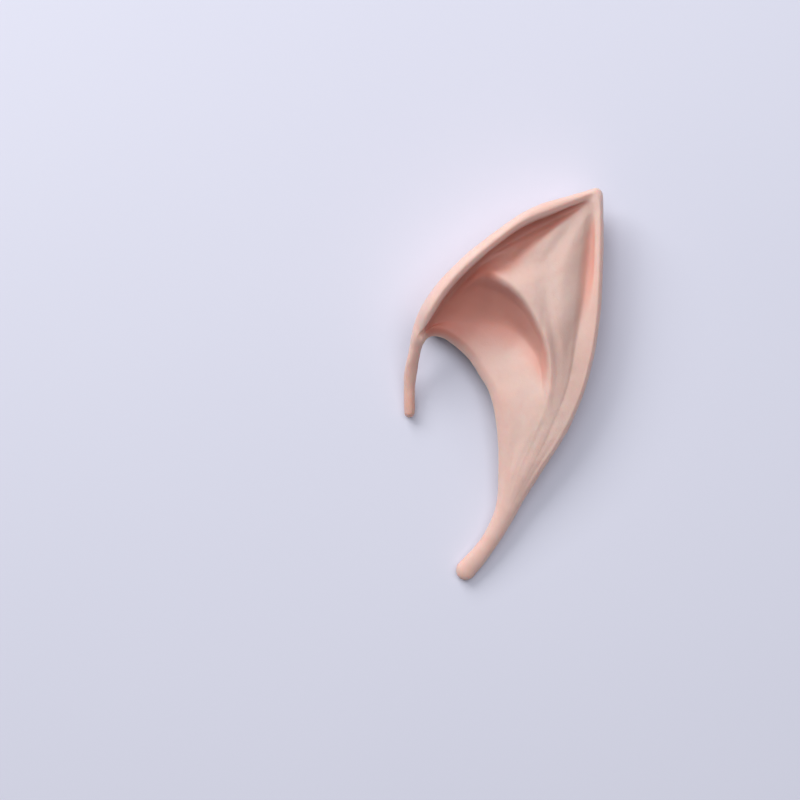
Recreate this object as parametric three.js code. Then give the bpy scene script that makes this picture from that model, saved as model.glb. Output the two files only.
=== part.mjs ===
import * as THREE from 'three';

// Overall sizes of the worn piece in millimetres, as it lies face up with its tip toward +Y.
const ear_length = 120;
const ear_width = 60.8;
const ear_depth = 24;

// Wall of the hollow body, the band that rolls over the arch where the wearer's own ear goes in,
// and how far the back wall's mouth lies in from the arch and stands off the ground.
const wall = 1.4;
const band_width = 3.0;
const band_drop = 1.5;
const mouth_recess = 2.6;
const mouth_rise = 0.6;

// Fineness of the loft along the crescent and round each section.
const station_spacing = 2.6;
const cap_rings = 3;

// Plan of the crescent, from the end of the front strap over the tip to the end of the lower
// strap. Each row gives a point of the arch (ax, ay) and its partner on the outer edge (bx, by),
// x as a share of ear_width and y as a share of ear_length, both from the middle of the piece.
const plan = [
  { place: 'front end', ax: -0.441, ay: -0.068, bx: -0.491, by: -0.068 },
  { place: 'front strap', ax: -0.434, ay: 0.011, bx: -0.494, by: 0.011 },
  { place: 'strap root', ax: -0.409, ay: 0.090, bx: -0.469, by: 0.087 },
  { place: 'arch corner', ax: -0.390, ay: 0.110, bx: -0.449, by: 0.144 },
  { place: 'arch start', ax: -0.371, ay: 0.121, bx: -0.408, by: 0.195 },
  { place: 'front wall', ax: -0.343, ay: 0.125, bx: -0.338, by: 0.248 },
  { place: 'front roll', ax: -0.299, ay: 0.120, bx: -0.231, by: 0.305 },
  { place: 'upper edge', ax: -0.249, ay: 0.103, bx: -0.065, by: 0.374 },
  { place: 'upper fossa', ax: -0.199, ay: 0.082, bx: 0.159, by: 0.447 },
  { place: 'top edge', ax: -0.181, ay: 0.072, bx: 0.279, by: 0.4665 },
  { place: 'below tip', ax: -0.164, ay: 0.062, bx: 0.388, by: 0.484 },
  { place: 'tip', ax: -0.149, ay: 0.051, bx: 0.468, by: 0.4975 },
  { place: 'tip corner', ax: -0.138, ay: 0.043, bx: 0.4955, by: 0.484 },
  { place: 'behind tip', ax: -0.124, ay: 0.031, bx: 0.500, by: 0.427 },
  { place: 'back 1', ax: -0.092, ay: 0.006, bx: 0.4945, by: 0.309 },
  { place: 'back 2', ax: -0.065, ay: -0.024, bx: 0.478, by: 0.157 },
  { place: 'back 3', ax: -0.042, ay: -0.069, bx: 0.423, by: 0.011 },
  { place: 'back 4', ax: -0.027, ay: -0.132, bx: 0.323, by: -0.115 },
  { place: 'neck', ax: -0.021, ay: -0.215, bx: 0.174, by: -0.236 },
  { place: 'lower root', ax: -0.030, ay: -0.299, bx: 0.082, by: -0.315 },
  { place: 'lower strap', ax: -0.067, ay: -0.355, bx: 0.015, by: -0.375 },
  { place: 'lower strap 2', ax: -0.144, ay: -0.414, bx: -0.065, by: -0.437 },
  { place: 'lower end', ax: -0.223, ay: -0.458, bx: -0.140, by: -0.486 },
];

// Relief of the front wall at the same places. A pair is a place across the section, as a share
// of its breadth from the arch, and a height as a share of ear_depth. pit is the foot of the
// concha wall, crest the antihelix, dip and swell the fold behind it, groove the hollow beside
// the roll. roll is the height of the roll and curl its breadth as a share of the section.
const relief = [
  { lip: 0.450, pit: [0.360, 0.430], crest: [0.440, 0.440], dip: [0.500, 0.450],
    swell: [0.550, 0.460], groove: [0.600, 0.500], roll: 0.660, curl: 0.360 },
  { lip: 0.450, pit: [0.360, 0.430], crest: [0.440, 0.440], dip: [0.500, 0.450],
    swell: [0.550, 0.460], groove: [0.600, 0.500], roll: 0.660, curl: 0.360 },
  { lip: 0.450, pit: [0.360, 0.430], crest: [0.440, 0.440], dip: [0.500, 0.450],
    swell: [0.550, 0.460], groove: [0.600, 0.500], roll: 0.660, curl: 0.360 },
  { lip: 0.430, pit: [0.270, 0.405], crest: [0.310, 0.410], dip: [0.345, 0.420],
    swell: [0.380, 0.440], groove: [0.420, 0.480], roll: 0.680, curl: 0.540 },
  { lip: 0.385, pit: [0.240, 0.370], crest: [0.270, 0.375], dip: [0.295, 0.382],
    swell: [0.320, 0.395], groove: [0.350, 0.430], roll: 0.820, curl: 0.690 },
  { lip: 0.385, pit: [0.240, 0.362], crest: [0.300, 0.366], dip: [0.350, 0.372],
    swell: [0.400, 0.384], groove: [0.450, 0.415], roll: 0.930, curl: 0.550 },
  { lip: 0.385, pit: [0.230, 0.352], crest: [0.500, 0.398], dip: [0.565, 0.420],
    swell: [0.615, 0.445], groove: [0.660, 0.490], roll: 0.970, curl: 0.345 },
  { lip: 0.385, pit: [0.220, 0.350], crest: [0.640, 0.610], dip: [0.690, 0.602],
    swell: [0.730, 0.596], groove: [0.765, 0.600], roll: 0.960, curl: 0.215 },
  { lip: 0.388, pit: [0.210, 0.352], crest: [0.512, 0.780], dip: [0.600, 0.680],
    swell: [0.690, 0.605], groove: [0.800, 0.545], roll: 0.890, curl: 0.145 },
  { lip: 0.392, pit: [0.210, 0.354], crest: [0.464, 0.795], dip: [0.570, 0.705],
    swell: [0.700, 0.665], groove: [0.845, 0.540], roll: 0.815, curl: 0.120 },
  { lip: 0.397, pit: [0.220, 0.357], crest: [0.420, 0.795], dip: [0.560, 0.700],
    swell: [0.790, 0.650], groove: [0.880, 0.575], roll: 0.700, curl: 0.100 },
  { lip: 0.402, pit: [0.226, 0.360], crest: [0.394, 0.790], dip: [0.545, 0.690],
    swell: [0.800, 0.630], groove: [0.900, 0.592], roll: 0.610, curl: 0.095 },
  { lip: 0.406, pit: [0.235, 0.362], crest: [0.392, 0.785], dip: [0.540, 0.690],
    swell: [0.770, 0.642], groove: [0.900, 0.587], roll: 0.600, curl: 0.095 },
  { lip: 0.412, pit: [0.272, 0.368], crest: [0.415, 0.770], dip: [0.530, 0.700],
    swell: [0.710, 0.655], groove: [0.890, 0.535], roll: 0.595, curl: 0.090 },
  { lip: 0.425, pit: [0.345, 0.385], crest: [0.470, 0.735], dip: [0.540, 0.690],
    swell: [0.640, 0.670], groove: [0.865, 0.500], roll: 0.585, curl: 0.090 },
  { lip: 0.435, pit: [0.440, 0.436], crest: [0.542, 0.640], dip: [0.590, 0.610],
    swell: [0.665, 0.600], groove: [0.800, 0.515], roll: 0.540, curl: 0.100 },
  { lip: 0.430, pit: [0.480, 0.485], crest: [0.580, 0.518], dip: [0.640, 0.512],
    swell: [0.700, 0.505], groove: [0.780, 0.483], roll: 0.485, curl: 0.125 },
  { lip: 0.400, pit: [0.440, 0.447], crest: [0.540, 0.457], dip: [0.600, 0.453],
    swell: [0.660, 0.446], groove: [0.735, 0.432], roll: 0.418, curl: 0.165 },
  { lip: 0.345, pit: [0.350, 0.372], crest: [0.500, 0.385], dip: [0.580, 0.385],
    swell: [0.660, 0.380], groove: [0.740, 0.370], roll: 0.355, curl: 0.240 },
  { lip: 0.300, pit: [0.350, 0.310], crest: [0.500, 0.320], dip: [0.560, 0.320],
    swell: [0.620, 0.320], groove: [0.680, 0.310], roll: 0.310, curl: 0.300 },
  { lip: 0.300, pit: [0.350, 0.310], crest: [0.500, 0.320], dip: [0.560, 0.320],
    swell: [0.620, 0.320], groove: [0.680, 0.310], roll: 0.310, curl: 0.300 },
  { lip: 0.300, pit: [0.350, 0.310], crest: [0.500, 0.320], dip: [0.560, 0.320],
    swell: [0.620, 0.320], groove: [0.680, 0.310], roll: 0.310, curl: 0.300 },
  { lip: 0.300, pit: [0.350, 0.310], crest: [0.500, 0.320], dip: [0.560, 0.320],
    swell: [0.620, 0.320], groove: [0.680, 0.310], roll: 0.310, curl: 0.300 },
];

// Body at the same places: side is how far the back wall runs in under the outer edge, as a
// share of the breadth, and drop how far the outermost point lies under the top of the roll, as
// a share of ear_depth. strap is 1 where the section is a solid oval and 0 where it is the hollow
// shell; middle and thick set that oval's height and thickness as shares of ear_depth.
const body = [
  { side: 0.40, drop: 0.105, strap: 1.00, middle: 0.082, thick: 0.164 },
  { side: 0.40, drop: 0.105, strap: 1.00, middle: 0.175, thick: 0.166 },
  { side: 0.40, drop: 0.105, strap: 1.00, middle: 0.375, thick: 0.175 },
  { side: 0.40, drop: 0.110, strap: 0.92, middle: 0.495, thick: 0.205 },
  { side: 0.44, drop: 0.115, strap: 0.20, middle: 0.480, thick: 0.280 },
  { side: 0.46, drop: 0.115, strap: 0.00, middle: 0.560, thick: 0.400 },
  { side: 0.46, drop: 0.115, strap: 0.00, middle: 0.560, thick: 0.400 },
  { side: 0.44, drop: 0.115, strap: 0.00, middle: 0.560, thick: 0.400 },
  { side: 0.38, drop: 0.115, strap: 0.00, middle: 0.500, thick: 0.400 },
  { side: 0.37, drop: 0.115, strap: 0.00, middle: 0.500, thick: 0.400 },
  { side: 0.36, drop: 0.120, strap: 0.00, middle: 0.500, thick: 0.400 },
  { side: 0.36, drop: 0.160, strap: 0.00, middle: 0.500, thick: 0.400 },
  { side: 0.36, drop: 0.200, strap: 0.00, middle: 0.500, thick: 0.400 },
  { side: 0.36, drop: 0.190, strap: 0.00, middle: 0.500, thick: 0.400 },
  { side: 0.38, drop: 0.110, strap: 0.00, middle: 0.500, thick: 0.400 },
  { side: 0.40, drop: 0.105, strap: 0.00, middle: 0.450, thick: 0.400 },
  { side: 0.42, drop: 0.105, strap: 0.00, middle: 0.400, thick: 0.400 },
  { side: 0.44, drop: 0.100, strap: 0.00, middle: 0.300, thick: 0.350 },
  { side: 0.44, drop: 0.090, strap: 0.30, middle: 0.230, thick: 0.270 },
  { side: 0.42, drop: 0.080, strap: 0.85, middle: 0.190, thick: 0.200 },
  { side: 0.40, drop: 0.080, strap: 1.00, middle: 0.160, thick: 0.170 },
  { side: 0.40, drop: 0.080, strap: 1.00, middle: 0.120, thick: 0.160 },
  { side: 0.40, drop: 0.080, strap: 1.00, middle: 0.080, thick: 0.160 },
];

function mix(a, b, share) {
  return a + (b - a) * share;
}

// Slope of a smooth curve at each knot, level wherever the values turn, so that the curve never
// swings past its rows.
function slopes(knots, values) {
  const last = knots.length - 1;
  const steps = [];
  const rises = [];
  for (let i = 0; i < last; i += 1) {
    steps.push(knots[i + 1] - knots[i]);
    rises.push((values[i + 1] - values[i]) / steps[i]);
  }
  const result = [rises[0]];
  for (let i = 1; i < last; i += 1) {
    const before = rises[i - 1];
    const after = rises[i];
    const blend = (steps[i] * before + steps[i - 1] * after) / (steps[i] + steps[i - 1]);
    const limit = 3 * Math.min(Math.abs(before), Math.abs(after));
    const turned = before * after <= 0;
    result.push(turned ? 0 : Math.sign(blend) * Math.min(Math.abs(blend), limit));
  }
  result.push(rises[last - 1]);
  return result;
}

// Value of that smooth curve inside span i, at share s of the span.
function along(knots, values, tangents, i, s) {
  const step = knots[i + 1] - knots[i];
  const s2 = s * s;
  const s3 = s2 * s;
  const start = (2 * s3 - 3 * s2 + 1) * values[i] + (s3 - 2 * s2 + s) * step * tangents[i];
  const stop = (3 * s2 - 2 * s3) * values[i + 1] + (s3 - s2) * step * tangents[i + 1];
  return start + stop;
}

// One flat table of columns in millimetres, read by name at any place along the crescent.
const columns = {
  ax: plan.map((row) => row.ax * ear_width),
  ay: plan.map((row) => row.ay * ear_length),
  bx: plan.map((row) => row.bx * ear_width),
  by: plan.map((row) => row.by * ear_length),
  lip: relief.map((row) => row.lip * ear_depth),
  roll: relief.map((row) => row.roll * ear_depth),
  curl: relief.map((row) => row.curl),
  side: body.map((row) => row.side),
  drop: body.map((row) => row.drop * ear_depth),
  strap: body.map((row) => row.strap),
  middle: body.map((row) => row.middle * ear_depth),
  thick: body.map((row) => row.thick * ear_depth),
};
for (const line of ['pit', 'crest', 'dip', 'swell', 'groove']) {
  columns[`${line}_at`] = relief.map((row) => row[line][0]);
  columns[`${line}_z`] = relief.map((row) => row[line][1] * ear_depth);
}

// Distance along the crescent, half way between its arch and its outer edge.
const travel = [0];
for (let i = 1; i < plan.length; i += 1) {
  const inner = Math.hypot(columns.ax[i] - columns.ax[i - 1], columns.ay[i] - columns.ay[i - 1]);
  const outer = Math.hypot(columns.bx[i] - columns.bx[i - 1], columns.by[i] - columns.by[i - 1]);
  travel.push(travel[i - 1] + (inner + outer) / 2);
}
const column_slopes = {};
for (const name of Object.keys(columns)) {
  column_slopes[name] = slopes(travel, columns[name]);
}

// All columns at share s of span i.
function rowAt(i, s) {
  const row = {};
  for (const name of Object.keys(columns)) {
    row[name] = along(travel, columns[name], column_slopes[name], i, s);
  }
  row.breadth = Math.hypot(row.bx - row.ax, row.by - row.ay);
  return row;
}

// Smooth curve through control points [u, z], with its own number of steps in each span.
function curveThrough(points, counts) {
  const knots = [0];
  for (let i = 1; i < points.length; i += 1) {
    const gap = Math.hypot(points[i][0] - points[i - 1][0], points[i][1] - points[i - 1][1]);
    knots.push(knots[i - 1] + Math.max(gap, 0.001));
  }
  const across = points.map((point) => point[0]);
  const upward = points.map((point) => point[1]);
  const across_slopes = slopes(knots, across);
  const upward_slopes = slopes(knots, upward);
  const result = [];
  for (let i = 0; i < counts.length; i += 1) {
    for (let k = 0; k < counts[i]; k += 1) {
      const s = k / counts[i];
      const u = along(knots, across, across_slopes, i, s);
      const z = along(knots, upward, upward_slopes, i, s);
      result.push([u, z]);
    }
  }
  result.push(points[points.length - 1]);
  return result;
}

// Steps in each span of the front, the back, the two linings and the closed end of the pocket.
const front_counts = [2, 2, 2, 3, 3, 4, 3, 3, 3, 3, 2, 3, 3, 2, 2];
const back_counts = [2, 2, 2, 2, 3, 2, 1];
const floor_counts = [1, 1, 1, 2, 1];
const end_counts = [2, 2];
const ceiling_counts = [1, 1, 2, 2, 2, 2, 1, 1];

// Share of the way up the concha wall where it turns steep: nearer the antihelix where the wall
// is wide.
function bendOf(row) {
  const wide = (row.crest_at - row.pit_at) * row.breadth;
  return mix(0.55, 0.68, Math.min(Math.max((wide - 5) / 8, 0), 1));
}

// Front of the shell from the nose of the arch's lip over the concha, the antihelix, the groove
// and the curled roll to the outermost point, as control points [u, z].
function frontPoints(row) {
  const b = row.breadth;
  const skin = Math.min(wall, 0.3 * b);
  const band = Math.min(band_width, 0.22 * b);
  const edge = row.lip - band_drop;
  const curl = row.curl * b;
  const deep = Math.min(Math.max(row.roll - row.groove_z, 0) / 8, 1);
  const hang = deep * 0.3 * curl * (1 - row.strap);
  const wall_top = b - mix(0.72, 0.92, deep) * curl;
  const bend = bendOf(row);
  const foot = mix(row.groove_at * b, wall_top, mix(0.45, 0.75, deep)) + hang;
  return [
    [0, edge - skin * 0.5],
    [0.42 * skin, edge],
    [band, row.lip],
    [mix(band, row.pit_at * b, 0.5), mix(row.lip, row.pit_z, 0.45)],
    [row.pit_at * b, row.pit_z],
    [mix(row.pit_at, row.crest_at, bend) * b, mix(row.pit_z, row.crest_z, 0.45)],
    [row.crest_at * b, row.crest_z],
    [row.dip_at * b, row.dip_z],
    [row.swell_at * b, row.swell_z],
    [mix(row.swell_at, row.groove_at, 0.55) * b, mix(row.swell_z, row.groove_z, 0.45)],
    [row.groove_at * b, row.groove_z],
    [foot, mix(row.groove_z, row.roll, 0.3)],
    [wall_top, mix(row.groove_z, row.roll, 0.78)],
    [b - mix(0.42, 0.52, deep) * curl, row.roll],
    [b - 0.1 * curl, row.roll - 0.45 * row.drop],
    [b, row.roll - row.drop],
  ];
}

// Back of the shell from the outermost point down under the edge and along the ground to the
// nose of the mouth's own lip.
function backPoints(row) {
  const b = row.breadth;
  const skin = Math.min(wall, 0.3 * b);
  const high = row.roll - row.drop;
  const inset = row.side * b;
  const recess = Math.min(mouth_recess, 0.2 * b);
  const turn = [0, 22, 44, 66, 90].map((degrees) => {
    const angle = degrees * Math.PI / 180;
    return [b - inset * (1 - Math.cos(angle)), high * (1 - Math.sin(angle))];
  });
  return [
    ...turn,
    [mix(recess, b - inset, 0.5), mouth_rise * 0.3],
    [recess + skin * 0.5, mouth_rise],
    [recess, mouth_rise + skin * 0.5],
  ];
}

// Point between two others, at share across of the way along and share upward of the way up,
// moved square off the line between them by a gap, to its lower side.
function below(from, to, across, upward, gap) {
  const run = to[0] - from[0];
  const rise = to[1] - from[1];
  const length = Math.max(Math.hypot(run, rise), 0.001);
  const u = mix(from[0], to[0], across) + (gap * rise) / length;
  const z = mix(from[1], to[1], upward) - (gap * run) / length;
  return [u, z];
}

// Ceiling of the pocket, one wall under the front, from the groove back to the arch's lip. The
// shifts shrink where the relief is low or narrow, so that the points keep their order.
function ceilingPoints(row) {
  const b = row.breadth;
  const skin = Math.min(wall, 0.3 * b);
  const band = Math.min(band_width, 0.22 * b);
  const pit = [row.pit_at * b, row.pit_z];
  const crest = [row.crest_at * b, row.crest_z];
  const swell = [row.swell_at * b, row.swell_z];
  const groove = [row.groove_at * b, row.groove_z];
  const tall = Math.min(Math.max((crest[1] - pit[1]) / 6, 0), 1);
  const bend = bendOf(row);
  const level = [mix(pit[0], crest[0], bend), mix(pit[1], crest[1], 0.45) - skin * 1.15];
  const steep = below(pit, crest, bend, 0.45, skin * 1.15);
  const slope = below(swell, groove, 0.55, 0.45, skin * 1.15);
  return [
    [Math.max(groove[0] - skin * 0.3, slope[0] + skin * 0.25), groove[1] - skin * 1.15],
    slope,
    [swell[0], swell[1] - skin * 1.2],
    [row.dip_at * b, row.dip_z - skin * 1.2],
    [crest[0] + skin * 0.3 * tall, crest[1] - skin * mix(1.2, 1.7, tall)],
    [mix(level[0], steep[0], tall), mix(level[1], steep[1], tall)],
    [pit[0] + Math.min(skin * 0.4, 0.3 * (crest[0] - pit[0])), pit[1] - skin],
    [mix(band, pit[0], 0.5), mix(row.lip, row.pit_z, 0.45) - skin],
    [0.5 * skin, row.lip - band_drop - skin],
  ];
}

// Floor of the pocket, one wall over the back, from the mouth's lip to under the roll.
function floorPoints(row) {
  const b = row.breadth;
  const skin = Math.min(wall, 0.3 * b);
  const high = row.roll - row.drop;
  const inset = row.side * b;
  const recess = Math.min(mouth_recess, 0.2 * b);
  const top = Math.max(Math.min(row.groove_z - skin * 2.2, high - skin * 0.5), skin * 1.5);
  const reach = Math.asin(Math.min((high - top) / (high - skin), 1));
  const turn = [0, 0.33, 0.66, 1].map((share) => {
    const angle = mix(Math.PI / 2, reach, share);
    return [
      b - inset + (inset - skin) * Math.cos(angle),
      high - (high - skin) * Math.sin(angle),
    ];
  });
  const middle = [mix(recess, b - inset, 0.5), mouth_rise * 0.3 + skin];
  return [[recess + skin * 0.5, mouth_rise + skin], middle, ...turn];
}

// Closed end of the pocket, turning from the floor's end to the ceiling's start.
function endPoints(floor, ceiling) {
  const from = floor[floor.length - 1];
  const to = ceiling[0];
  return [from, [mix(from[0], to[0], 0.32), mix(from[1], to[1], 0.72)], to];
}

// Height of a strap's oval at place u, on its upper side (1) or its lower side (-1).
function ovalAt(row, u, side) {
  const across = Math.min(Math.max((2 * u) / row.breadth - 1, -1), 1);
  return row.middle + side * 0.5 * row.thick * Math.sqrt(1 - across * across);
}

// Closed section at one place: front, back, the pocket's floor, its end and its ceiling. Where
// the strap begins each point moves toward the solid oval, and the pocket shrinks to its flank.
function sectionOf(row) {
  const b = row.breadth;
  const front = curveThrough(frontPoints(row), front_counts);
  const back = curveThrough(backPoints(row), back_counts);
  const floor = curveThrough(floorPoints(row), floor_counts);
  const ceiling = curveThrough(ceilingPoints(row), ceiling_counts);
  const end = curveThrough(endPoints(floor, ceiling), end_counts);
  const inside = [...floor, ...end.slice(1, -1), ...ceiling];
  const recess = back[back.length - 1][0];
  const start = Math.acos(Math.min(Math.max((2 * recess) / b - 1, -1), 1));
  const shaped = (point, u, z) => [mix(point[0], u, row.strap), mix(point[1], z, row.strap)];
  return [
    ...front.map((point) => shaped(point, point[0], ovalAt(row, point[0], 1))),
    ...back.slice(1).map((point) => shaped(point, point[0], ovalAt(row, point[0], -1))),
    ...inside.map((point, k) => {
      const angle = mix(start, Math.PI, (k + 1) / (inside.length + 1));
      const u = b * 0.5 * (1 + Math.cos(angle));
      return shaped(point, u, row.middle - 0.5 * row.thick * Math.sin(angle));
    }),
  ];
}

// Ring of that section in space. A cap ring is drawn in toward the middle of the strap and set
// out past its end by a share of its half breadth.
function ringOf(row, scale, outset) {
  const ux = (row.bx - row.ax) / row.breadth;
  const uy = (row.by - row.ay) / row.breadth;
  const middle = row.breadth * 0.5;
  return sectionOf(row).map(([u, z]) => {
    const along_u = mix(middle, u, scale);
    const height = mix(row.middle, z, scale);
    const x = row.ax + ux * along_u + uy * outset * middle;
    const y = row.ay + uy * along_u - ux * outset * middle;
    return [x, y, height];
  });
}

// Rings of the whole crescent, with a round cap of shrinking rings at both strap ends.
function allRings() {
  const rings = [];
  const first = rowAt(0, 0);
  const last = rowAt(plan.length - 2, 1);
  for (let k = cap_rings; k >= 1; k -= 1) {
    const angle = (k / (cap_rings + 1)) * Math.PI * 0.5;
    rings.push(ringOf(first, Math.cos(angle), -Math.sin(angle)));
  }
  for (let i = 0; i < plan.length - 1; i += 1) {
    const steps = Math.max(1, Math.round((travel[i + 1] - travel[i]) / station_spacing));
    for (let k = 0; k < steps; k += 1) {
      rings.push(ringOf(rowAt(i, k / steps), 1, 0));
    }
  }
  rings.push(ringOf(last, 1, 0));
  for (let k = 1; k <= cap_rings; k += 1) {
    const angle = (k / (cap_rings + 1)) * Math.PI * 0.5;
    rings.push(ringOf(last, Math.cos(angle), Math.sin(angle)));
  }
  const start = ringOf(first, 0, -1)[0];
  const stop = ringOf(last, 0, 1)[0];
  return { rings, start, stop };
}

// Closed surface over the rings, centred on the middle of its outline and resting on the ground.
function earGeometry() {
  const { rings, start, stop } = allRings();
  const round = rings[0].length;
  const points = rings.flat();
  points.push(start, stop);
  const low = [Infinity, Infinity, Infinity];
  const high = [-Infinity, -Infinity, -Infinity];
  for (const point of points) {
    for (let c = 0; c < 3; c += 1) {
      low[c] = Math.min(low[c], point[c]);
      high[c] = Math.max(high[c], point[c]);
    }
  }
  const shift = [(low[0] + high[0]) / 2, (low[1] + high[1]) / 2, low[2]];
  const positions = points.flatMap((point) => point.map((value, c) => value - shift[c]));
  const faces = [];
  for (let j = 0; j < rings.length - 1; j += 1) {
    for (let k = 0; k < round; k += 1) {
      const here = j * round + k;
      const next = j * round + (k + 1) % round;
      faces.push(here, here + round, next);
      faces.push(next, here + round, next + round);
    }
  }
  const first_tip = rings.length * round;
  const last_row = (rings.length - 1) * round;
  for (let k = 0; k < round; k += 1) {
    const next = (k + 1) % round;
    faces.push(first_tip, k, next);
    faces.push(first_tip + 1, last_row + next, last_row + k);
  }
  const geometry = new THREE.BufferGeometry();
  geometry.setAttribute('position', new THREE.Float32BufferAttribute(positions, 3));
  geometry.setIndex(faces);
  geometry.computeVertexNormals();
  return geometry;
}

const latex = new THREE.MeshStandardMaterial({ name: 'latex_skin', color: 0xdcab98, roughness: 0.5 });
const ear_tip_shell = new THREE.Mesh(earGeometry(), latex);
ear_tip_shell.name = 'ear_tip_shell';

const elf_ear_tip = new THREE.Group();
elf_ear_tip.name = 'elf_ear_tip';
elf_ear_tip.add(ear_tip_shell);

export default elf_ear_tip;
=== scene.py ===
import bpy
import numpy as np
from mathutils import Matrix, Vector


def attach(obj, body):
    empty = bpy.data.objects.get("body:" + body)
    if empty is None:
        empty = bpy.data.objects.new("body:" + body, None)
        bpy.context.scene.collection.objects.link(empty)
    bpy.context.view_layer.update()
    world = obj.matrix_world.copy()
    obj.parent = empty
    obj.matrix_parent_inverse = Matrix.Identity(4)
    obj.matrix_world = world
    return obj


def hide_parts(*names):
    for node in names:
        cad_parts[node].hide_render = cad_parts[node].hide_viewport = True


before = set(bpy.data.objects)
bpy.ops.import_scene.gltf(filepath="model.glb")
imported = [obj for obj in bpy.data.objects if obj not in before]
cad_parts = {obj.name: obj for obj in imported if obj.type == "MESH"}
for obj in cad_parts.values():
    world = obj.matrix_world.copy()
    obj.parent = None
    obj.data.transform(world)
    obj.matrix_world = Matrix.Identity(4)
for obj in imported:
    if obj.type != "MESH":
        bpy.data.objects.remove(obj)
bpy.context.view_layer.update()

# The ear tip: one hollow crescent of dipped latex, made in one with its two solid straps and
# open along its arch, where the wearer's own ear goes into the pocket. It is one closed skin
# lofted over the crescent, and its sizes are in mm.
MM = 0.001
LENGTH = 120.0
WIDTH = 60.8
DEPTH = 24.0
WALL = 1.4
BAND = 3.0  # breadth of the band along the arch
BAND_DROP = 1.5  # fall of the band to its edge
RECESS = 2.6  # how far the back's edge lies behind the front's
RISE = 0.6  # height of the back's edge over the ground
SPACING = 0.62  # from section to section
FINE = 3  # points of a section for each step of the counts below
CAPS = 7  # rings that round off each strap's end

# The sections of the crescent, from the end of the front strap over the tip to the end of the
# lower strap. Plan points are shares of the width and the length from the middle, relief places
# are shares of the section's breadth from the arch, and heights are shares of the depth.
FORMS = ("pit", "crest", "dip", "swell", "groove")
PLAN = (
    # ax      ay      bx      by
    (-0.4410, -0.0680, -0.4910, -0.0680),  # front end
    (-0.4340,  0.0110, -0.4940,  0.0110),  # front strap
    (-0.4090,  0.0900, -0.4690,  0.0870),  # strap root
    (-0.3900,  0.1100, -0.4490,  0.1440),  # arch corner
    (-0.3710,  0.1210, -0.4080,  0.1950),  # arch start
    (-0.3430,  0.1250, -0.3380,  0.2480),  # front wall
    (-0.2990,  0.1200, -0.2310,  0.3050),  # front roll
    (-0.2490,  0.1030, -0.0650,  0.3740),  # upper edge
    (-0.1990,  0.0820,  0.1590,  0.4470),  # upper fossa
    (-0.1810,  0.0720,  0.2790,  0.4665),  # top edge
    (-0.1640,  0.0620,  0.3880,  0.4840),  # below tip
    (-0.1490,  0.0510,  0.4680,  0.4975),  # tip
    (-0.1380,  0.0430,  0.4955,  0.4840),  # tip corner
    (-0.1240,  0.0310,  0.5000,  0.4270),  # behind tip
    (-0.0920,  0.0060,  0.4945,  0.3090),  # back 1
    (-0.0650, -0.0240,  0.4780,  0.1570),  # back 2
    (-0.0420, -0.0690,  0.4230,  0.0110),  # back 3
    (-0.0270, -0.1320,  0.3230, -0.1150),  # back 4
    (-0.0210, -0.2150,  0.1740, -0.2360),  # neck
    (-0.0300, -0.2990,  0.0820, -0.3150),  # lower root
    (-0.0670, -0.3550,  0.0150, -0.3750),  # lower strap
    (-0.1440, -0.4140, -0.0650, -0.4370),  # lower strap 2
    (-0.2230, -0.4580, -0.1400, -0.4860),  # lower end
)
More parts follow.
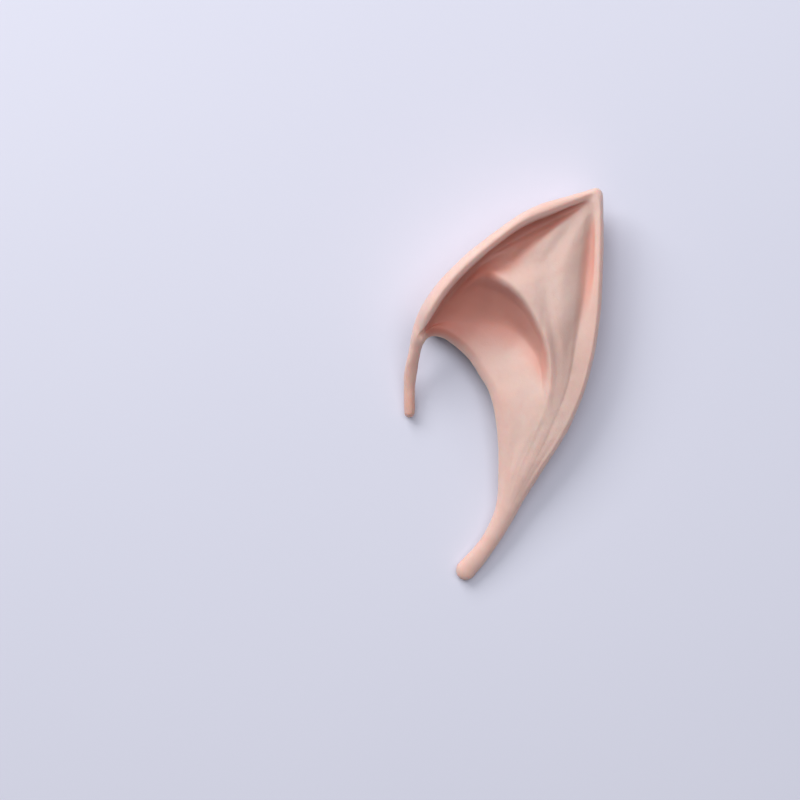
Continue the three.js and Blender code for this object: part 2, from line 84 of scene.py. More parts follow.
RELIEF = (
    # lip   pit at, z    crest at, z  dip at, z    swell at, z  groove at, z  roll   curl
    (0.450, 0.360, 0.430, 0.440, 0.440, 0.500, 0.450, 0.550, 0.460, 0.600, 0.500, 0.660, 0.360),
    (0.450, 0.360, 0.430, 0.440, 0.440, 0.500, 0.450, 0.550, 0.460, 0.600, 0.500, 0.660, 0.360),
    (0.450, 0.360, 0.430, 0.440, 0.440, 0.500, 0.450, 0.550, 0.460, 0.600, 0.500, 0.660, 0.360),
    (0.430, 0.270, 0.405, 0.310, 0.410, 0.345, 0.420, 0.380, 0.440, 0.420, 0.480, 0.680, 0.540),
    (0.385, 0.240, 0.370, 0.270, 0.375, 0.295, 0.382, 0.320, 0.395, 0.350, 0.430, 0.820, 0.690),
    (0.385, 0.240, 0.362, 0.300, 0.366, 0.350, 0.372, 0.400, 0.384, 0.450, 0.415, 0.930, 0.550),
    (0.385, 0.230, 0.352, 0.500, 0.398, 0.565, 0.420, 0.615, 0.445, 0.660, 0.490, 0.970, 0.345),
    (0.385, 0.220, 0.350, 0.640, 0.610, 0.690, 0.602, 0.730, 0.596, 0.765, 0.600, 0.960, 0.215),
    (0.388, 0.210, 0.352, 0.512, 0.780, 0.600, 0.680, 0.690, 0.605, 0.800, 0.545, 0.890, 0.145),
    (0.392, 0.210, 0.354, 0.464, 0.795, 0.570, 0.705, 0.700, 0.665, 0.845, 0.540, 0.815, 0.120),
    (0.397, 0.220, 0.357, 0.420, 0.795, 0.560, 0.700, 0.790, 0.650, 0.880, 0.575, 0.700, 0.100),
    (0.402, 0.226, 0.360, 0.394, 0.790, 0.545, 0.690, 0.800, 0.630, 0.900, 0.592, 0.610, 0.095),
    (0.406, 0.235, 0.362, 0.392, 0.785, 0.540, 0.690, 0.770, 0.642, 0.900, 0.587, 0.600, 0.095),
    (0.412, 0.272, 0.368, 0.415, 0.770, 0.530, 0.700, 0.710, 0.655, 0.890, 0.535, 0.595, 0.090),
    (0.425, 0.345, 0.385, 0.470, 0.735, 0.540, 0.690, 0.640, 0.670, 0.865, 0.500, 0.585, 0.090),
    (0.435, 0.440, 0.436, 0.542, 0.640, 0.590, 0.610, 0.665, 0.600, 0.800, 0.515, 0.540, 0.100),
    (0.430, 0.480, 0.485, 0.580, 0.518, 0.640, 0.512, 0.700, 0.505, 0.780, 0.483, 0.485, 0.125),
    (0.400, 0.440, 0.447, 0.540, 0.457, 0.600, 0.453, 0.660, 0.446, 0.735, 0.432, 0.418, 0.165),
    (0.345, 0.350, 0.372, 0.500, 0.385, 0.580, 0.385, 0.660, 0.380, 0.740, 0.370, 0.355, 0.240),
    (0.300, 0.350, 0.310, 0.500, 0.320, 0.560, 0.320, 0.620, 0.320, 0.680, 0.310, 0.310, 0.300),
    (0.300, 0.350, 0.310, 0.500, 0.320, 0.560, 0.320, 0.620, 0.320, 0.680, 0.310, 0.310, 0.300),
    (0.300, 0.350, 0.310, 0.500, 0.320, 0.560, 0.320, 0.620, 0.320, 0.680, 0.310, 0.310, 0.300),
    (0.300, 0.350, 0.310, 0.500, 0.320, 0.560, 0.320, 0.620, 0.320, 0.680, 0.310, 0.310, 0.300),
)
BODY = (
    # side  drop   strap middle thick
    (0.400, 0.105, 1.000, 0.082, 0.164),
    (0.400, 0.105, 1.000, 0.175, 0.166),
    (0.400, 0.105, 1.000, 0.375, 0.175),
    (0.400, 0.110, 0.920, 0.495, 0.205),
    (0.440, 0.115, 0.200, 0.480, 0.280),
    (0.460, 0.115, 0.000, 0.560, 0.400),
    (0.460, 0.115, 0.000, 0.560, 0.400),
    (0.440, 0.115, 0.000, 0.560, 0.400),
    (0.380, 0.115, 0.000, 0.500, 0.400),
    (0.370, 0.115, 0.000, 0.500, 0.400),
    (0.360, 0.120, 0.000, 0.500, 0.400),
    (0.360, 0.160, 0.000, 0.500, 0.400),
    (0.360, 0.200, 0.000, 0.500, 0.400),
    (0.360, 0.190, 0.000, 0.500, 0.400),
    (0.380, 0.110, 0.000, 0.500, 0.400),
    (0.400, 0.105, 0.000, 0.450, 0.400),
    (0.420, 0.105, 0.000, 0.400, 0.400),
    (0.440, 0.100, 0.000, 0.300, 0.350),
    (0.440, 0.090, 0.300, 0.230, 0.270),
    (0.420, 0.080, 0.850, 0.190, 0.200),
    (0.400, 0.080, 1.000, 0.160, 0.170),
    (0.400, 0.080, 1.000, 0.120, 0.160),
    (0.400, 0.080, 1.000, 0.080, 0.160),
)


def smooth_slopes(knots, values):
    """Slopes m_i = (h_i r_(i-1) + h_(i-1) r_i) / (h_i + h_(i-1)) along the last axis, with steps h
    and rises r over them, level where the values turn and at most 3 min(|r|), so that the curve
    never swings past its rows."""
    steps = np.diff(knots, axis=-1)
    rises = np.diff(values, axis=-1) / steps
    before, after = rises[..., :-1], rises[..., 1:]
    back, ahead = steps[..., :-1], steps[..., 1:]
    blend = (ahead * before + back * after) / (ahead + back)
    limit = 3 * np.minimum(abs(before), abs(after))
    inner = np.where(before * after <= 0, 0.0, np.sign(blend) * np.minimum(abs(blend), limit))
    return np.concatenate([rises[..., :1], inner, rises[..., -1:]], axis=-1)


def hermite(knots, values, span, s):
    """Cubic through the rows, at share s of a span of length h from v_i to v_(i+1):
    (2s3 - 3s2 + 1) v_i + (s3 - 2s2 + s) h m_i + (3s2 - 2s3) v_(i+1) + (s3 - s2) h m_(i+1)."""
    m = smooth_slopes(knots, values)
    step = knots[..., span + 1] - knots[..., span]
    s2, s3 = s * s, s * s * s
    start = (2 * s3 - 3 * s2 + 1) * values[..., span] + (s3 - 2 * s2 + s) * step * m[..., span]
    stop = (3 * s2 - 2 * s3) * values[..., span + 1] + (s3 - s2) * step * m[..., span + 1]
    return start + stop


def spans_and_shares(counts):
    """The span i and the share k / counts[i] within it of every point, and the last span's end."""
    span = np.concatenate([np.full(n, i) for i, n in enumerate(counts)] + [[len(counts) - 1]])
    return span.astype(int), np.concatenate([np.arange(n) / n for n in counts] + [[1.0]])


def through(points, counts):
    """Smooth curve through the control points [u, z] of every section: both as cubics over the
    straight distance from point to point, with counts[i] steps in span i."""
    u = np.stack([p[0] for p in points], axis=1)
    z = np.stack([p[1] for p in points], axis=1)
    gaps = np.maximum(np.hypot(np.diff(u, axis=1), np.diff(z, axis=1)), 0.001)
    knots = np.concatenate([np.zeros((len(u), 1)), np.cumsum(gaps, axis=1)], axis=1)
    span, s = spans_and_shares(counts)
    return hermite(knots, u, span, s), hermite(knots, z, span, s)


def mix(a, b, share):
    """a + (b - a) share, from a at 0 to b at 1."""
    return a + (b - a) * share


def station_rows(spacing):
    """Every column of the tables, as cubics over the mean length of the crescent's two edges, at
    stations about spacing mm apart."""
    plan, relief, body = (np.array(t, float) for t in (PLAN, RELIEF, BODY))
    row = {
        "ax": plan[:, 0] * WIDTH,
        "ay": plan[:, 1] * LENGTH,
        "bx": plan[:, 2] * WIDTH,
        "by": plan[:, 3] * LENGTH,
        "lip": relief[:, 0] * DEPTH,
        "roll": relief[:, 11] * DEPTH,
        "curl": relief[:, 12],
        "side": body[:, 0],
        "drop": body[:, 1] * DEPTH,
        "strap": body[:, 2],
        "middle": body[:, 3] * DEPTH,
        "thick": body[:, 4] * DEPTH,
    }
    for i, name in enumerate(FORMS):
        row[name + "_at"] = relief[:, 1 + 2 * i]
        row[name + "_z"] = relief[:, 2 + 2 * i] * DEPTH
    inner = np.hypot(np.diff(row["ax"]), np.diff(row["ay"]))
    outer = np.hypot(np.diff(row["bx"]), np.diff(row["by"]))
    travel = np.concatenate([[0], np.cumsum((inner + outer) / 2)])
    steps = np.maximum(1, np.round(np.diff(travel) / spacing)).astype(int)
    span, s = spans_and_shares(steps)
    row = {name: hermite(travel, values, span, s) for name, values in row.items()}
    row["b"] = np.hypot(row["bx"] - row["ax"], row["by"] - row["ay"])
    return row


def sections(row, fine):
    """Closed sections [u, z] of all stations: front, back, the pocket's floor, its end and its
    ceiling, each a smooth curve through named points. Where a strap begins,
    p = (1 - strap) shell + strap oval, so the pocket shrinks to the oval's flank."""
    b = row["b"]
    zero = np.zeros_like(b)
    skin = np.minimum(WALL, 0.3 * b)
    band = np.minimum(BAND, 0.22 * b)
    edge = row["lip"] - BAND_DROP
    curl = row["curl"] * b
    deep = np.clip((row["roll"] - row["groove_z"]) / 8, 0, 1)
    hang = deep * 0.3 * curl * (1 - row["strap"])
    wall_top = b - mix(0.72, 0.92, deep) * curl
    bend = mix(0.55, 0.68, np.clip(((row["crest_at"] - row["pit_at"]) * b - 5) / 8, 0, 1))
    at = {form: row[form + "_at"] * b for form in FORMS}
    z = {form: row[form + "_z"] for form in FORMS}
    roll, high = row["roll"], row["roll"] - row["drop"]
    front = [
        (zero, edge - skin * 0.5),
        (0.42 * skin, edge),
        (band, row["lip"]),
        (mix(band, at["pit"], 0.5), mix(row["lip"], z["pit"], 0.45)),
        (at["pit"], z["pit"]),
        (mix(at["pit"], at["crest"], bend), mix(z["pit"], z["crest"], 0.45)),
        (at["crest"], z["crest"]),
        (at["dip"], z["dip"]),
        (at["swell"], z["swell"]),
        (mix(at["swell"], at["groove"], 0.55), mix(z["swell"], z["groove"], 0.45)),
        (at["groove"], z["groove"]),
        (mix(at["groove"], wall_top, mix(0.45, 0.75, deep)) + hang, mix(z["groove"], roll, 0.3)),
        (wall_top, mix(z["groove"], roll, 0.78)),
        (b - mix(0.42, 0.52, deep) * curl, roll),
        (b - 0.1 * curl, roll - 0.45 * row["drop"]),
        (b, high),
    ]
    inset = row["side"] * b
    recess = np.minimum(RECESS, 0.2 * b)
    turn = np.radians([0, 22, 44, 66, 90])
    back = [(b - inset * (1 - np.cos(t)), high * (1 - np.sin(t))) for t in turn]
    back += [
        (mix(recess, b - inset, 0.5), zero + RISE * 0.3),
        (recess + skin * 0.5, zero + RISE),
        (recess, RISE + skin * 0.5),
    ]
    top = np.maximum(np.minimum(z["groove"] - skin * 2.2, high - skin * 0.5), skin * 1.5)
    reach = np.arcsin(np.minimum((high - top) / (high - skin), 1))
    floor = [(recess + skin * 0.5, RISE + skin), (mix(recess, b - inset, 0.5), RISE * 0.3 + skin)]
    for share in (0, 0.33, 0.66, 1):
        t = mix(np.pi / 2, reach, share)
        floor.append((b - inset + (inset - skin) * np.cos(t), high - (high - skin) * np.sin(t)))

    def below(start, stop, across, upward, gap):
        """The point at those shares between two forms, moved gap square to the line from one to
        the other."""
        run, rise = at[stop] - at[start], z[stop] - z[start]
        length = np.maximum(np.hypot(run, rise), 0.001)
        u = mix(at[start], at[stop], across) + gap * rise / length
        return u, mix(z[start], z[stop], upward) - gap * run / length

    tall = np.clip((z["crest"] - z["pit"]) / 6, 0, 1)
    gap = skin * 1.15
    level = mix(at["pit"], at["crest"], bend), mix(z["pit"], z["crest"], 0.45) - gap
    steep = below("pit", "crest", bend, 0.45, gap)
    slope = below("swell", "groove", 0.55, 0.45, gap)
    ceiling = [
        (np.maximum(at["groove"] - skin * 0.3, slope[0] + skin * 0.25), z["groove"] - gap),
        slope,
        (at["swell"], z["swell"] - skin * 1.2),
        (at["dip"], z["dip"] - skin * 1.2),
        (at["crest"] + skin * 0.3 * tall, z["crest"] - skin * mix(1.2, 1.7, tall)),
        (mix(level[0], steep[0], tall), mix(level[1], steep[1], tall)),
        (at["pit"] + np.minimum(skin * 0.4, 0.3 * (at["crest"] - at["pit"])), z["pit"] - skin),
        (mix(band, at["pit"], 0.5), mix(row["lip"], z["pit"], 0.45) - skin),
        (0.5 * skin, row["lip"] - BAND_DROP - skin),
    ]
    (fu, fz), (cu, cz) = floor[-1], ceiling[0]
    end = [(fu, fz), (mix(fu, cu, 0.32), mix(fz, cz, 0.72)), (cu, cz)]
    fu, fz = through(front, np.array([2, 2, 2, 3, 3, 4, 3, 3, 3, 3, 2, 3, 3, 2, 2]) * fine)
    bu, bz = (v[:, 1:] for v in through(back, np.array([2, 2, 2, 2, 3, 2, 1]) * fine))
    lu, lz = through(floor, np.array([1, 1, 1, 2, 1]) * fine)
    eu, ez = (v[:, 1:-1] for v in through(end, np.array([2, 2]) * fine))
    gu, gz = through(ceiling, np.array([1, 1, 2, 2, 2, 2, 1, 1]) * fine)
    iu, iz = np.hstack([lu, eu, gu]), np.hstack([lz, ez, gz])

    middle, half_thick = row["middle"][:, None], 0.5 * row["thick"][:, None]

    def oval(u, side):
        """Height of a strap's oval: middle +- half the thickness times sqrt(1 - across^2)."""
        across = np.clip(2 * u / b[:, None] - 1, -1, 1)
        return middle + side * half_thick * np.sqrt(1 - across**2)

    start = np.arccos(np.clip(2 * bu[:, -1] / b - 1, -1, 1))[:, None]
    angle = mix(start, np.pi, np.arange(1, iu.shape[1] + 1) / (iu.shape[1] + 1))
    flank_u = b[:, None] * 0.5 * (1 + np.cos(angle))
    flank_z = middle - half_thick * np.sin(angle)
    strap = row["strap"][:, None]
    u = np.hstack([fu, bu, mix(iu, flank_u, strap)])
    outside = mix(fz, oval(fu, 1), strap), mix(bz, oval(bu, -1), strap)
    z = np.hstack([*outside, mix(iz, flank_z, strap)])
    return u, z, fu.shape[1], fu.shape[1] + bu.shape[1]


def rings_in_space(row, u, z, caps):
    """Rings of the crescent in space, each section's u along the line from arch to outer edge.
    Each strap's end is closed by shrinking rings, of scale cos(a) about the strap's middle and
    set out past its end by sin(a) times half the breadth."""
    b = row["b"]
    ux, uy = (row["bx"] - row["ax"]) / b, (row["by"] - row["ay"]) / b

    def ring(i, scale, outset):
        """Section i shrunk to that scale about its middle and moved square to its own line."""
        half = b[i] * 0.5
        along = mix(half, u[i], scale)
        x = row["ax"][i] + ux[i] * along + uy[i] * outset * half
        y = row["ay"][i] + uy[i] * along - ux[i] * outset * half
        return np.stack([x, y, mix(row["middle"][i], z[i], scale)], axis=1)

    last = len(b) - 1
    angles = [k / (caps + 1) * np.pi / 2 for k in range(1, caps + 1)]
    rings = [ring(0, np.cos(a), -np.sin(a)) for a in reversed(angles)]
    rings += [ring(i, 1.0, 0.0) for i in range(len(b))]
    rings += [ring(last, np.cos(a), np.sin(a)) for a in angles]
    tips = np.array([ring(0, 0.0, -1.0)[0], ring(last, 0.0, 1.0)[0]])
    return np.array(rings), tips


# Small folds and dents of the front that the sections leave out. Each is a smooth stroke,
# height exp(-(along / reach)^2 - (across / breadth)^2), with across measured from a line that bends
# by bend along^2. x, y, reach, breadth and height in mm, turn in degrees from +Y toward -X.
FOLDS = (
    # x      y     turn  reach breadth height bend
    (11.4, 6.5, 2, 12.0, 0.9, -0.45, 0.004),
    (16.0, 17.0, 14, 9.0, 1.3, 0.30, 0.008),
    (20.0, 13.0, -14, 9.0, 1.6, -0.30, 0.004),
    (13.5, -4.0, -4, 4.0, 1.4, 0.30, 0.000),
    (9.0, -18.0, -24, 9.0, 1.1, -0.20, 0.000),
)


def fold_heights(x, y):
    """The sum of all the strokes' heights at x, y."""
    total = np.zeros_like(x)
    for fx, fy, turn, reach, breadth, height, bend in FOLDS:
        a = np.radians(turn)
        along = -(x - fx) * np.sin(a) + (y - fy) * np.cos(a)
        across = (x - fx) * np.cos(a) + (y - fy) * np.sin(a) - bend * along**2
        total += height * np.exp(-((along / reach) ** 2) - (across / breadth) ** 2)
    return total


def evened(rings, weight, rounds):
    """The rings with every point drawn toward (p- + 2 p + p+) / 4 in every round, with p- and p+
    the same point of the sections before and after, as far as its weight lets it."""
    for _ in range(rounds):
        mean = rings.copy()
        mean[1:-1] = (rings[:-2] + 2 * rings[1:-1] + rings[2:]) / 4
        rings = mix(rings, mean, weight[..., None])
    return rings


def noise_waves(points, size, count, seed):
    """Gentle seeded unevenness: count plane waves of about that size in mm, added up and divided
    by sqrt(count)."""
    rng = np.random.default_rng(seed)
    total = np.zeros(len(points))
    for _ in range(count):
        direction = rng.normal(size=3)
        direction /= np.linalg.norm(direction)
        wave = 2 * np.pi / (size * rng.uniform(0.7, 1.5))
        total += np.sin(points @ direction * wave + rng.uniform(0, 2 * np.pi))
    return total / np.sqrt(count)


def horizon_share(points, headings):
    """Share of the light hidden from each point of the front on the given headings, in degrees
    from +X: the mean over them of sin(h), where tan(h) is the steepest rise to the surface up to
    26 mm away, smoothed along and across the sections by running means of five."""
    cell, nearest, farthest, margin = 0.7, 2, 37, 40
    column = np.round((points[..., 0] - points[..., 0].min()) / cell).astype(int) + margin
    line = np.round((points[..., 1] - points[..., 1].min()) / cell).astype(int) + margin
    heights = np.zeros((column.max() + margin + 1, line.max() + margin + 1))
    np.maximum.at(heights, (column, line), points[..., 2])
    total = np.zeros(column.shape)
    for heading in np.radians(headings):
        steepest = np.zeros(column.shape)
        for step in range(nearest, farthest + 1):
            i = column + int(round(step * np.cos(heading)))
            k = line + int(round(step * np.sin(heading)))
            steepest = np.maximum(steepest, (heights[i, k] - points[..., 2]) / (step * cell))
        total += steepest / np.sqrt(1 + steepest**2)
    for axis in [0] * 3 + [1] * 5:
        total = sum(np.roll(total, shift, axis) for shift in (-2, -1, 0, 1, 2)) / 5
    return total / len(headings)


def closed_loft(name, rings, tips):
    """One closed mesh over n rings of m points: point k of ring j is vertex j m + k, quads join it
    to the next point and the next ring, and a fan joins each end ring to a single point."""
    n, m = rings.shape[:2]
    points = np.concatenate([rings.reshape(-1, 3), tips])
    j, k = np.meshgrid(np.arange(n - 1), np.arange(m), indexing="ij")
    here, across = j * m + k, j * m + (k + 1) % m
    quads = np.stack([here, here + m, across + m, across], axis=-1).reshape(-1, 4)
    k = np.arange(m)
    first = np.stack([np.full(m, n * m), k, (k + 1) % m], axis=1)
    last = np.stack([np.full(m, n * m + 1), (n - 1) * m + (k + 1) % m, (n - 1) * m + k], axis=1)
    loops = np.concatenate([quads.ravel(), first.ravel(), last.ravel()])
    sizes = np.concatenate([np.full(len(quads), 4), np.full(2 * m, 3)])
    mesh = bpy.data.meshes.new(name)
    mesh.vertices.add(len(points))
    mesh.vertices.foreach_set("co", (points * MM).ravel())
    mesh.loops.add(len(loops))
    mesh.loops.foreach_set("vertex_index", loops)
    mesh.polygons.add(len(sizes))
    mesh.polygons.foreach_set("loop_start", np.concatenate([[0], np.cumsum(sizes)[:-1]]))
    mesh.update(calc_edges=True)
    mesh.validate()
    mesh.polygons.foreach_set("use_smooth", np.ones(len(mesh.polygons), bool))
    piece = bpy.data.objects.new(name, mesh)
    bpy.context.scene.collection.objects.link(piece)
    return piece


def point_values(piece, name, values):
    """Keeps one number for each vertex under that name, for the material to read."""
    layer = piece.data.attributes.new(name, "FLOAT", "POINT")
    layer.data.foreach_set("value", np.asarray(values, np.float32))


# The skin, straps, shell and pocket in one. Its front is evened out inside the hollow, folds and
# a slight hand-poured unevenness are worked into it, and the mould's parting line is a fine
# thread along its outer edge.
LIP_FADE = 2.4  # mm from the arch over which folds and painted-shade tints grow
ROLL_FADE = 2.0  # mm before the curled roll over which the folds end
TINT_FADE = 1.5  # mm on the roll's inner wall over which the painted-shade tints end
BASIN_END, BASIN_FADE = 0.62, 0.2  # shares of the breadth where the evening ends
EVENING_ROUNDS = 24
RIDGE_FADE = 0.1  # share of the breadth past the ridge over which its painted shade eases
RIDGE_SHADE = 0.65
# Headings in degrees from +X for the painted shade: all round, and toward the key lamp up and to
# the left.
ALL_ROUND = range(0, 360, 30)
UP_AND_LEFT = range(80, 170, 11)
GROUND_FADE = 1.5  # mm over the ground within which the skin stays plain
SEAM_HEIGHT = 0.09
STRAP_FADE = 30  # mm from the front strap's end over which its painted warm shade ends

row = station_rows(SPACING)
u, z, front_end, back_end = sections(row, FINE)
shell_part = 1 - row["strap"]
across = u / row["b"][:, None]
inner_part = np.clip((row["b"] * (1 - row["curl"]))[:, None] - u, 0, ROLL_FADE) / ROLL_FADE
lip_part = np.clip(u / LIP_FADE, 0, 1)

inside = np.zeros_like(u)
inside[:, back_end:] = shell_part[:, None]
seam = np.zeros_like(u)
seam[:, front_end - 1] = 1.0

rings, tips = rings_in_space(row, u, z, CAPS)
shell = rings[CAPS:-CAPS]
basin = np.clip((BASIN_END - across) / BASIN_FADE, 0, 1) * lip_part * shell_part[:, None]
basin[:, front_end:back_end] = 0
shell[:] = evened(shell, basin, EVENING_ROUNDS)
front = shell[:, :front_end]
fold = fold_heights(front[..., 0], front[..., 1])
front[..., 2] += fold * (inner_part * lip_part * shell_part[:, None])[:, :front_end]

# Painted shade: the share of sky each front point loses all round (hollow) and toward the key lamp
# up and to the left (shade), faded out on the roll's inner wall. The material darkens and reddens
# the front by these shares.
wall_end = (row["b"] * (1 - 0.55 * row["curl"]))[:, None]
within = np.clip(wall_end - u, 0, TINT_FADE) / TINT_FADE
shade_shown = (mix(0.5, 1.0, lip_part) * within * shell_part[:, None])[:, :front_end]
hollow, shade = np.zeros(rings.shape[:2]), np.zeros(rings.shape[:2])
past_ridge = np.clip((across[:, :front_end] - row["crest_at"][:, None]) / RIDGE_FADE, 0, 1)
hollow[CAPS:-CAPS, :front_end] = horizon_share(front, ALL_ROUND) * shade_shown
shaded = horizon_share(front, UP_AND_LEFT) * shade_shown * mix(1, RIDGE_SHADE, past_ridge)
shade[CAPS:-CAPS, :front_end] = shaded
low = np.minimum(rings.reshape(-1, 3).min(0), tips.min(0))
high = np.maximum(rings.reshape(-1, 3).max(0), tips.max(0))
shift = np.array([(low[0] + high[0]) / 2, (low[1] + high[1]) / 2, low[2]])
rings, tips = rings - shift, tips - shift


def on_all_points(values):
    """The sections' values for every vertex, with the end sections' own on their caps."""
    first, last = np.repeat(values[:1], CAPS, 0), np.repeat(values[-1:], CAPS, 0)
    capped = np.concatenate([first, values, last])
    return np.concatenate([capped.ravel(), [values[0, 0], values[-1, 0]]])


ear = closed_loft("latex_ear_skin", rings, tips)
count = len(ear.data.vertices)
spots = np.empty(count * 3)
ear.data.vertices.foreach_get("co", spots)
spots = spots.reshape(-1, 3)
normals = np.empty(count * 3)
ear.data.vertices.foreach_get("normal", normals)
normals = normals.reshape(-1, 3)
outer = 1 - on_all_points(inside)
seam_all = on_all_points(seam)
broad = noise_waves(spots / MM, size=11.0, count=9, seed=4)
small = noise_waves(spots / MM, size=4.0, count=9, seed=5)
uneven = broad * 0.07 + small * 0.025
above_ground = np.clip(spots[:, 2] / MM / GROUND_FADE, 0, 1)
lift = uneven * outer * above_ground + SEAM_HEIGHT * seam_all
spots = spots + normals * (lift * MM)[:, None]
ear.data.vertices.foreach_set("co", spots.ravel())
ear.data.update()
point_values(ear, "hollow", np.concatenate([hollow.ravel(), [0, 0]]))
point_values(ear, "shade", np.concatenate([shade.ravel(), [0, 0]]))
point_values(ear, "inside", on_all_points(inside))
point_values(ear, "seam", seam_all)
# Painted shade along the front strap: full at its end, gone 30 mm up.
strap_end_shade = np.clip(1 - (np.arange(len(row["b"])) * SPACING) / STRAP_FADE, 0, 1)
point_values(ear, "front_strap_shade", on_all_points(np.repeat(strap_end_shade[:, None], u.shape[1], 1)))


class Nodes:
    """A material's node tree: adds nodes, links their sockets and sets constants on them."""

    def __init__(self, name):
        self.material = bpy.data.materials.new(name)
        self.material.use_nodes = True
        self.tree = self.material.node_tree
        self.shader = self.tree.nodes["Principled BSDF"]

    def add(self, kind, inputs=(), **settings):
        node = self.tree.nodes.new(kind)
        for key, value in settings.items():
            setattr(node, key, value)
        for key, value in dict(inputs).items():
            self.set(node, key, value)
        return node

    def set(self, node, key, value):
        if isinstance(value, bpy.types.NodeSocket):
            self.tree.links.new(value, node.inputs[key])
        else:
            node.inputs[key].default_value = value

    def math(self, operation, a, b):
        node = self.add("ShaderNodeMath", {0: a, 1: b}, operation=operation)
        return node.outputs[0]

    def blend(self, factor, a, b, how="MIX"):
        """From colour a at factor 0 to colour b, or a times b, at factor 1."""
        sockets = {0: factor, 6: a, 7: b}
        return self.add("ShaderNodeMix", sockets, data_type="RGBA", blend_type=how).outputs[2]

    def ramp(self, value, low, high, out_low=0.0, out_high=1.0):
        """Smooth step from out_low at low to out_high at high."""
        sockets = {0: value, 1: low, 2: high, 3: out_low, 4: out_high}
        node = self.add("ShaderNodeMapRange", sockets)
        node.interpolation_type = "SMOOTHSTEP"
        return node.outputs[0]


# Latex: satin flesh colour with painted shade, red-brown and dimmed in the hollows and the rolls'
# shadow and darker and warm at the front strap's end, warmer inside the pocket, with soft paler
# clouds, rosy mottling, a faint powdery sheen, pin-point bubbles and a few tiny dark specks.
nt = Nodes("latex_skin")
place = nt.add("ShaderNodeTexCoord").outputs["Object"]


def latex_noise(scale, detail, roughness=0.5):
    """Noise of about 1 / scale metres, with its default roughness where none is given."""
    sockets = {"Vector": place, "Scale": scale, "Detail": detail, "Roughness": roughness}
    return nt.add("ShaderNodeTexNoise", sockets).outputs["Fac"]


def kept_value(name):
    """The number that the ear's vertices keep under that name."""
    return nt.add("ShaderNodeAttribute", attribute_name=name).outputs["Fac"]


cloud = latex_noise(55.0, 4.0, 0.55)
mottle = latex_noise(420.0, 5.0, 0.6)
hollow_shade_at, shade_at = kept_value("hollow"), kept_value("shade")
inside_at, strap_shade_at = kept_value("inside"), kept_value("front_strap_shade")
skin = (0.785, 0.530, 0.460, 1)
pale = (0.855, 0.640, 0.575, 1)
warm = (0.640, 0.318, 0.225, 1)
rosy = (0.750, 0.460, 0.400, 1)
# deep is the red-brown of the painted shade, and the colour below it dims that shade.
deep = (0.760, 0.275, 0.205, 1)
painted_shade_dim = (0.90, 0.92, 0.93, 1)
speck_brown = (0.10, 0.05, 0.04, 1)
colour = nt.blend(nt.ramp(cloud, 0.35, 0.68, 0.0, 0.45), skin, pale)
colour = nt.blend(nt.ramp(mottle, 0.42, 0.75, 0.0, 0.28), colour, rosy)
# Painted shade: the hollows and the rolls' shadow are tinted red-brown and dimmed, standing in for
# shadow and light bounced inside the hollows.
colour = nt.blend(nt.ramp(hollow_shade_at, 0.22, 0.42, 0.0, 0.55), colour, deep)
colour = nt.blend(nt.ramp(shade_at, 0.22, 0.90, 0.0, 0.80), colour, deep)
colour = nt.blend(nt.ramp(shade_at, 0.20, 0.50), colour, painted_shade_dim, "MULTIPLY")
colour = nt.blend(nt.math("MULTIPLY", inside_at, 0.5), colour, warm)
# Painted shade: the front strap's end is darkened warm where it bends down away from the light.
colour = nt.blend(nt.ramp(strap_shade_at, 0.40, 1.0, 0.0, 0.45), colour, warm)
cells = nt.add("ShaderNodeTexVoronoi", {"Vector": place, "Scale": 95.0, "Randomness": 1.0})
dot = nt.ramp(cells.outputs["Distance"], 0.030, 0.016)
draw = nt.add("ShaderNodeSeparateColor", {0: cells.outputs["Color"]}).outputs[0]
speck = nt.math("MULTIPLY", dot, nt.math("GREATER_THAN", draw, 0.90))
colour = nt.blend(nt.math("MULTIPLY", speck, 0.7), colour, speck_brown)
grain = latex_noise(2600.0, 3.0, 0.55)
bubbles = nt.add("ShaderNodeTexVoronoi", {"Vector": place, "Scale": 900.0, "Randomness": 1.0})
bubble = nt.ramp(bubbles.outputs["Distance"], 0.10, 0.30)
dents = latex_noise(240.0, 3.0)
height = nt.math("ADD", nt.math("MULTIPLY", grain, 0.25), nt.math("MULTIPLY", bubble, 0.25))
height = nt.math("ADD", height, nt.math("MULTIPLY", dents, 0.9))
bump = nt.add("ShaderNodeBump", {"Height": height, "Strength": 0.35, "Distance": 0.0002})
rough = nt.ramp(mottle, 0.3, 0.7, 0.44, 0.56)
for key, value in {
    "Base Color": colour,
    "Roughness": rough,
    "Normal": bump.outputs["Normal"],
    "Subsurface Weight": 0.45,
    "Subsurface Radius": (1.0, 0.32, 0.18),
    "Subsurface Scale": 0.0035,
    "Specular IOR Level": 0.42,
    "Sheen Weight": 0.12,
    "Sheen Roughness": 0.45,
    "Sheen Tint": (1.0, 0.90, 0.86, 1),
}.items():
    nt.set(nt.shader, key, value)
ear.data.materials.append(nt.material)
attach(ear, "root")
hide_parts("ear_tip_shell")

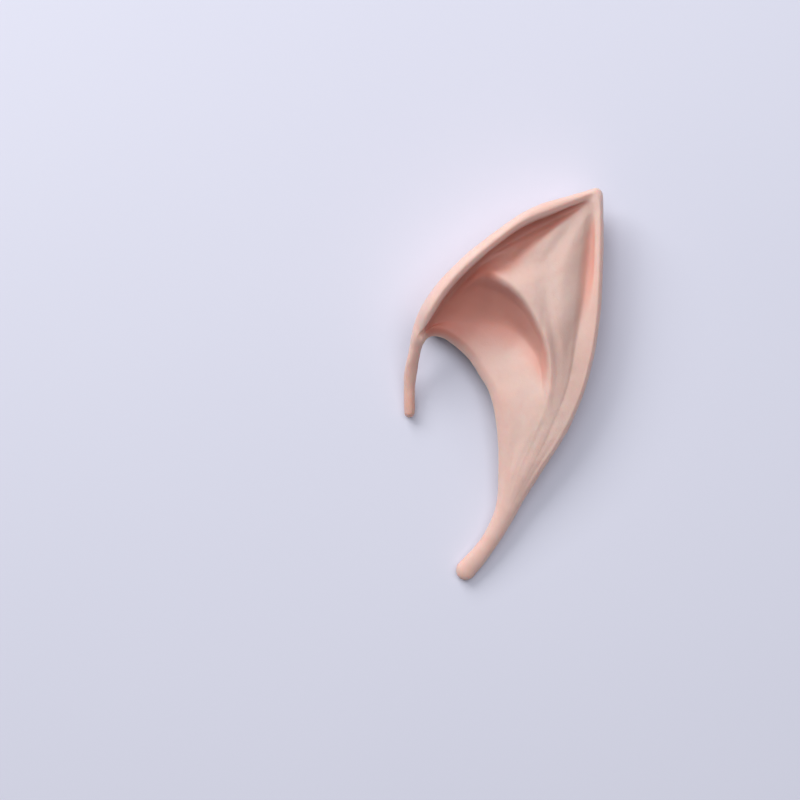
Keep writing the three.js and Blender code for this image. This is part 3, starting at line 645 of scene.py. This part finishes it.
# The pale ground that the ear lies on: one wide smooth sheet, dull and matt, with a faint
# unevenness of tone. It is a flat square grid of even cells.
HALF_SIDE, CELLS = 1.6, 40
steps = np.linspace(-HALF_SIDE, HALF_SIDE, CELLS + 1)
gx, gy = np.meshgrid(steps, steps, indexing="ij")
flat = np.stack([gx, gy, np.zeros_like(gx)], axis=-1).reshape(-1, 3)
a, b = np.meshgrid(np.arange(CELLS), np.arange(CELLS), indexing="ij")
start = a * (CELLS + 1) + b
after = start + CELLS + 1
quads = np.stack([start, after, after + 1, start + 1], axis=-1).reshape(-1, 4)
ground_mesh = bpy.data.meshes.new("ground_sheet")
ground_mesh.from_pydata(flat, [], quads)
ground = bpy.data.objects.new("ground_sheet", ground_mesh)
bpy.context.scene.collection.objects.link(ground)
gm = Nodes("pale_ground")
on_ground = gm.add("ShaderNodeTexCoord").outputs["Object"]
drift = gm.add("ShaderNodeTexNoise", {"Vector": on_ground, "Scale": 5.0})
tone = gm.blend(drift.outputs["Fac"], (0.700, 0.712, 0.835, 1), (0.735, 0.745, 0.860, 1))
gm.set(gm.shader, "Base Color", tone)
gm.set(gm.shader, "Roughness", 0.75)
gm.set(gm.shader, "Specular IOR Level", 0.2)
ground_mesh.materials.append(gm.material)


# Soft studio light: a broad key from beyond the tip and its left, a wider lamp overhead and a
# weak even pale sky.
def soft_light(name, place, aim, width, depth, power, tint):
    """One oblong lamp of that width and depth in metres, turned toward the point it aims at."""
    data = bpy.data.lights.new(name, "AREA")
    data.shape = "RECTANGLE"
    data.size, data.size_y = width, depth
    data.energy = power
    data.color = tint
    lamp = bpy.data.objects.new(name, data)
    lamp.location = place
    lamp.rotation_euler = (Vector(aim) - Vector(place)).to_track_quat("-Z", "Y").to_euler()
    bpy.context.scene.collection.objects.link(lamp)


soft_light("key", (-0.66, 0.98, 0.76), (0, 0, 0), 1.1, 0.7, 16.0, (1.0, 0.985, 0.97))
soft_light("overhead", (0.10, 0.40, 1.35), (0, 0, 0), 1.5, 0.9, 10.6, (0.97, 0.975, 1.0))
world = bpy.data.worlds.new("studio")
world.use_nodes = True
world.node_tree.nodes["Background"].inputs["Color"].default_value = (0.93, 0.94, 1.0, 1)
world.node_tree.nodes["Background"].inputs["Strength"].default_value = 0.16
bpy.context.scene.world = world
bpy.context.scene.view_settings.view_transform = "Standard"

# The camera looks straight down with a long lens, the ear to the right of the frame's middle.
cam = bpy.data.cameras.new("camera")
cam.lens = 100
cam.sensor_width = 36
cam.clip_start, cam.clip_end = 0.05, 10
camera = bpy.data.objects.new("camera", cam)
PICTURE = 800  # pixels on a side
MM_PER_PIXEL = 0.3023
ORIGIN_ACROSS, ORIGIN_DOWN = 504.0, 385.2  # the pixel over the ear's middle
SHARP_HEIGHT = 12  # mm over the ground where that scale holds
reach = PICTURE * MM_PER_PIXEL * cam.lens / cam.sensor_width
camera.location = (
    (PICTURE / 2 - ORIGIN_ACROSS) * MM_PER_PIXEL * MM,
    (ORIGIN_DOWN - PICTURE / 2) * MM_PER_PIXEL * MM,
    (reach + SHARP_HEIGHT) * MM,
)
bpy.context.scene.collection.objects.link(camera)
bpy.context.scene.camera = camera
